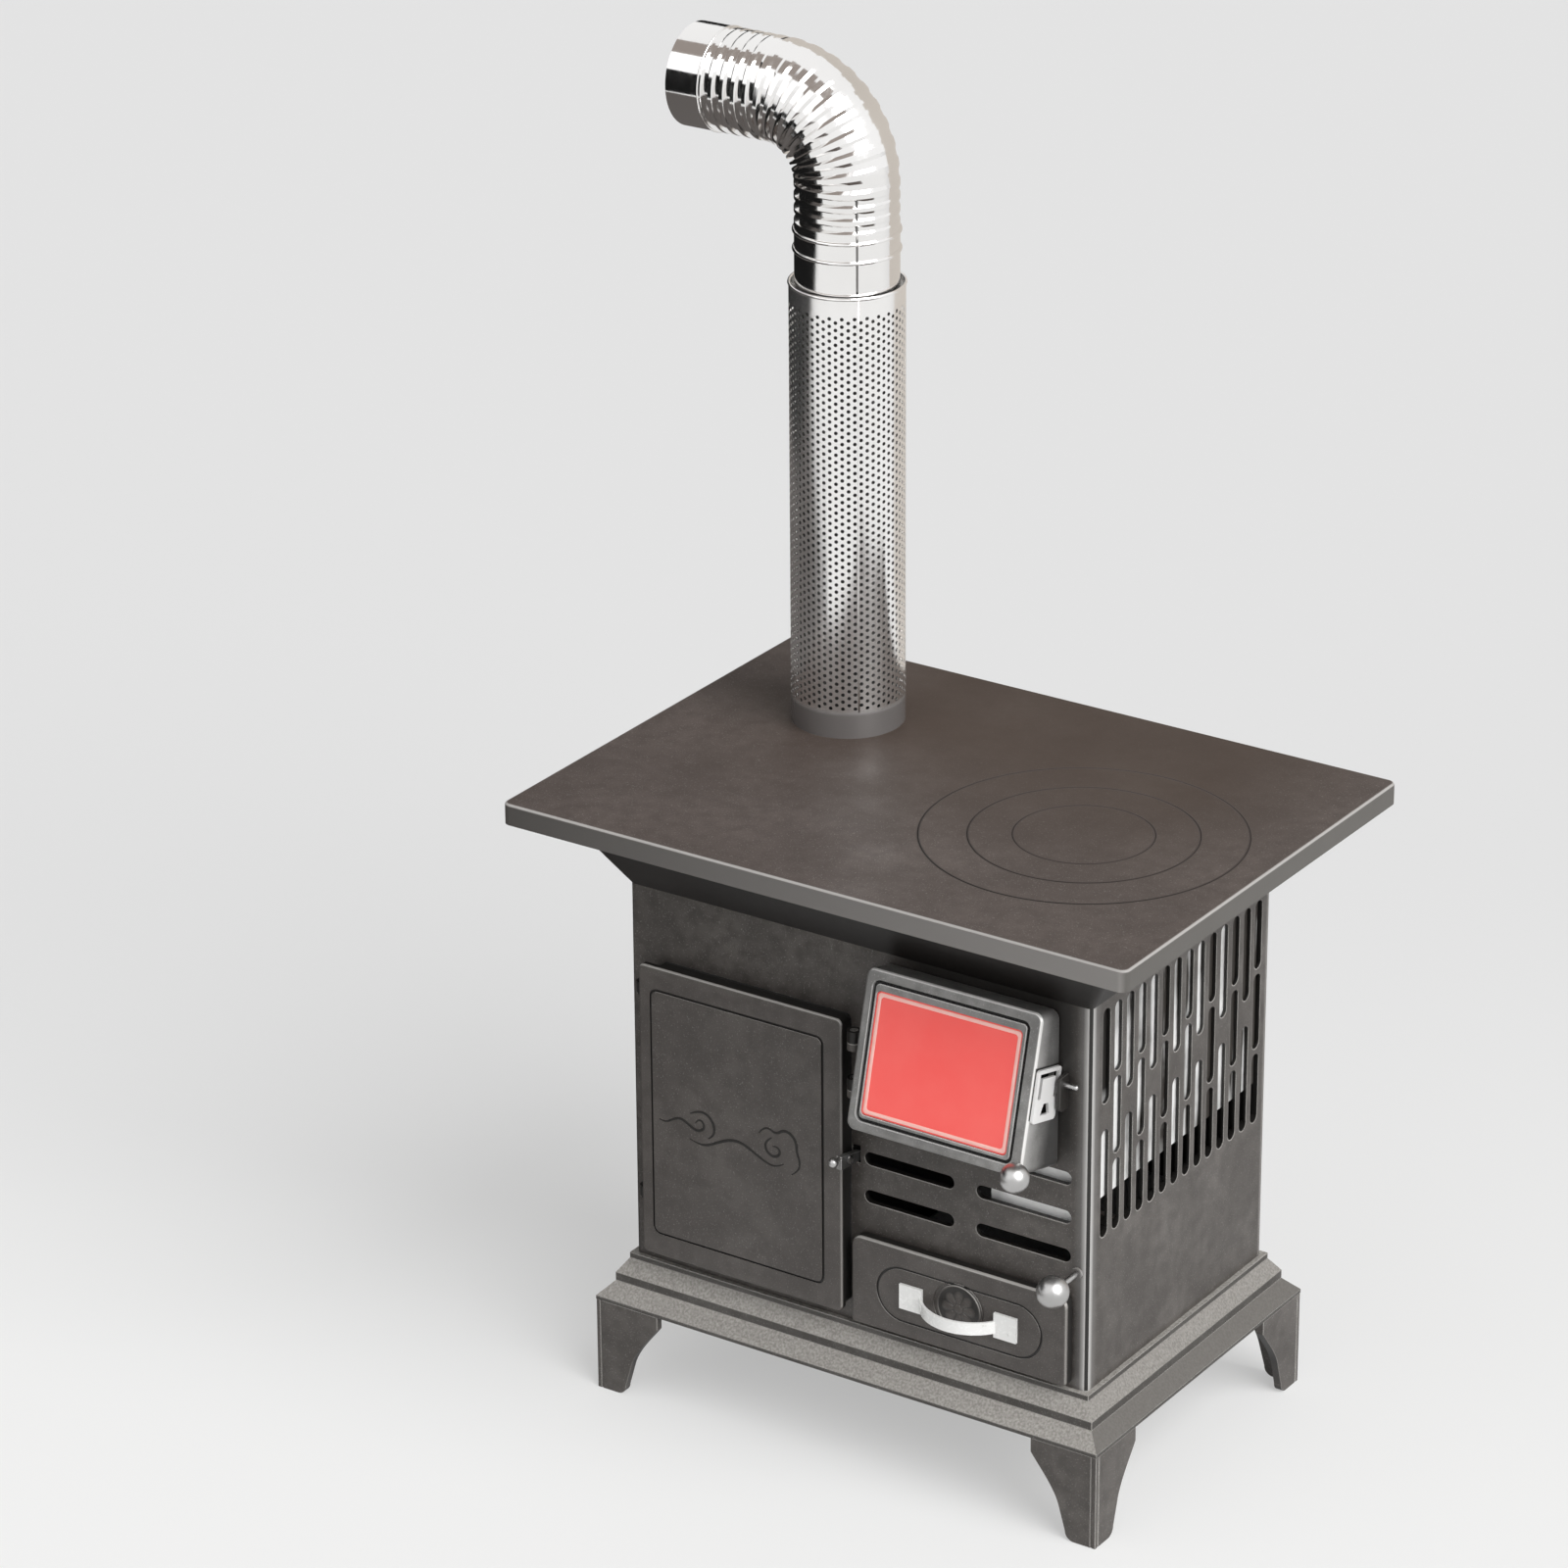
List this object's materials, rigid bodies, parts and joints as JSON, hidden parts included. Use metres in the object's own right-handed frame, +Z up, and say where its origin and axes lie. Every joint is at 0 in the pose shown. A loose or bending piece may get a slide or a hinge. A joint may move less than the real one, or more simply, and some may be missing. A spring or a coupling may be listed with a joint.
{
  "type": "wood cookstove",
  "caption": "Cast-iron wood cookstove with a side oven, sloped glazed fire door, ash drawer, lift-out hob rings and a guarded flue with a crimped elbow.",
  "frame": {"origin": "on the floor under the centre of the hob plate", "axes": "+Z up, front with the doors towards -Y, oven on the -X side"},
  "size_m": [0.71, 0.5238, 1.3403],
  "materials": {
    "hob_iron": "satin",
    "body_iron": "satin",
    "plinth_iron": "matte",
    "door_iron": "satin",
    "black_iron": "matte",
    "frame_iron": "satin",
    "grate_iron": "matte",
    "steel_sheet": "satin",
    "bright_sheet": "satin",
    "steel_parts": "satin",
    "polished_steel": "polished",
    "flue_steel": "polished",
    "guard_steel": "polished",
    "white_enamel": "gloss",
    "window_glass": "gloss",
    "red_film": "satin",
    "rope_seal": "matte",
    "fire_brick": "matte"
  },
  "bodies": {
    "stove": {"top_plate": "hob_iron", "cornice": "body_iron", "front_panel": "body_iron", "rear_panel": "body_iron", "left_panel": "body_iron", "right_panel": "body_iron", "plinth": "plinth_iron", "base_plate": "body_iron", "leg_front_left": "body_iron", "leg_front_right": "body_iron", "leg_rear_left": "body_iron", "leg_rear_right": "body_iron", "leg_bolts": "steel_parts", "oven_hinge_lugs": "body_iron", "oven_hinge_pins": "steel_parts", "oven_box": "steel_sheet", "oven_rack": "steel_parts", "fire_hinge_lugs": "body_iron", "fire_hinge_pins": "steel_parts", "catch_keeper": "body_iron", "catch_pin": "steel_parts", "partition_wall": "body_iron", "firebox_floor": "body_iron", "side_bricks": "fire_brick", "rear_brick": "fire_brick", "shaker_bush": "body_iron", "heat_shield": "bright_sheet", "shield_spacers": "bright_sheet", "drawer_runners": "body_iron", "flue_collar": "body_iron", "flue_pipe": "flue_steel", "pipe_guard": "guard_steel"},
    "oven_door": {"oven_door_plate": "door_iron", "oven_door_pan": "black_iron", "oven_door_gasket": "rope_seal", "oven_latch_pivot": "steel_parts"},
    "oven_latch": {"oven_latch_lever": "frame_iron", "oven_latch_knob": "polished_steel"},
    "fire_door": {"fire_door_frame": "frame_iron", "fire_door_gasket": "rope_seal", "window_gasket": "rope_seal", "window_glass": "window_glass", "window_bezel": "frame_iron", "window_film": "red_film", "glass_clips": "steel_parts", "fire_door_knob": "polished_steel", "catch_plate": "frame_iron"},
    "ash_drawer": {"ash_drawer_front": "door_iron", "ash_tray": "steel_sheet", "drawer_pull": "white_enamel"},
    "grate_shaker": {"grate": "grate_iron", "shaker_link": "grate_iron", "shaker_rod": "steel_parts", "shaker_knob": "polished_steel"},
    "outer_ring": {"hob_ring_outer": "hob_iron"},
    "middle_ring": {"hob_ring_middle": "hob_iron"},
    "centre_lid": {"hob_lid": "hob_iron"},
    "flue_elbow": {"elbow_socket": "flue_steel", "elbow_bend": "flue_steel", "elbow_outlet": "flue_steel"}
  },
  "joints": [
    {"name": "oven_door_hinge", "type": "hinge", "parent": "stove", "child": "oven_door", "pos_m": [-0.245, -0.175, 0.325], "axis": [0, 0, -1], "range_deg": [0, 110]},
    {"name": "oven_latch_turn", "type": "hinge", "parent": "oven_door", "child": "oven_latch", "pos_m": [0.0004, -0.1856, 0.335], "axis": [1, 0, 0], "range_deg": [0, 12]},
    {"name": "fire_door_hinge", "type": "hinge", "parent": "stove", "child": "fire_door", "pos_m": [0.022, -0.205, 0.45], "axis": [0, 0, -1], "range_deg": [0, 100]},
    {"name": "ash_drawer_slide", "type": "slide", "parent": "stove", "child": "ash_drawer", "axis": [0, -1, 0], "range_m": [0, 0.22]},
    {"name": "grate_shaker_slide", "type": "slide", "parent": "stove", "child": "grate_shaker", "axis": [0, -1, 0], "range_m": [0, 0.025]},
    {"name": "outer_ring_lift", "type": "slide", "parent": "stove", "child": "outer_ring", "axis": [0, 0, 1], "range_m": [0, 0.12]},
    {"name": "middle_ring_lift", "type": "slide", "parent": "outer_ring", "child": "middle_ring", "axis": [0, 0, 1], "range_m": [0, 0.12]},
    {"name": "centre_lid_lift", "type": "slide", "parent": "middle_ring", "child": "centre_lid", "axis": [0, 0, 1], "range_m": [0, 0.12]},
    {"name": "elbow_swivel", "type": "hinge", "parent": "stove", "child": "flue_elbow", "pos_m": [-0.185, 0.102, 1.15], "axis": [0, 0, 1], "continuous": true}
  ]
}
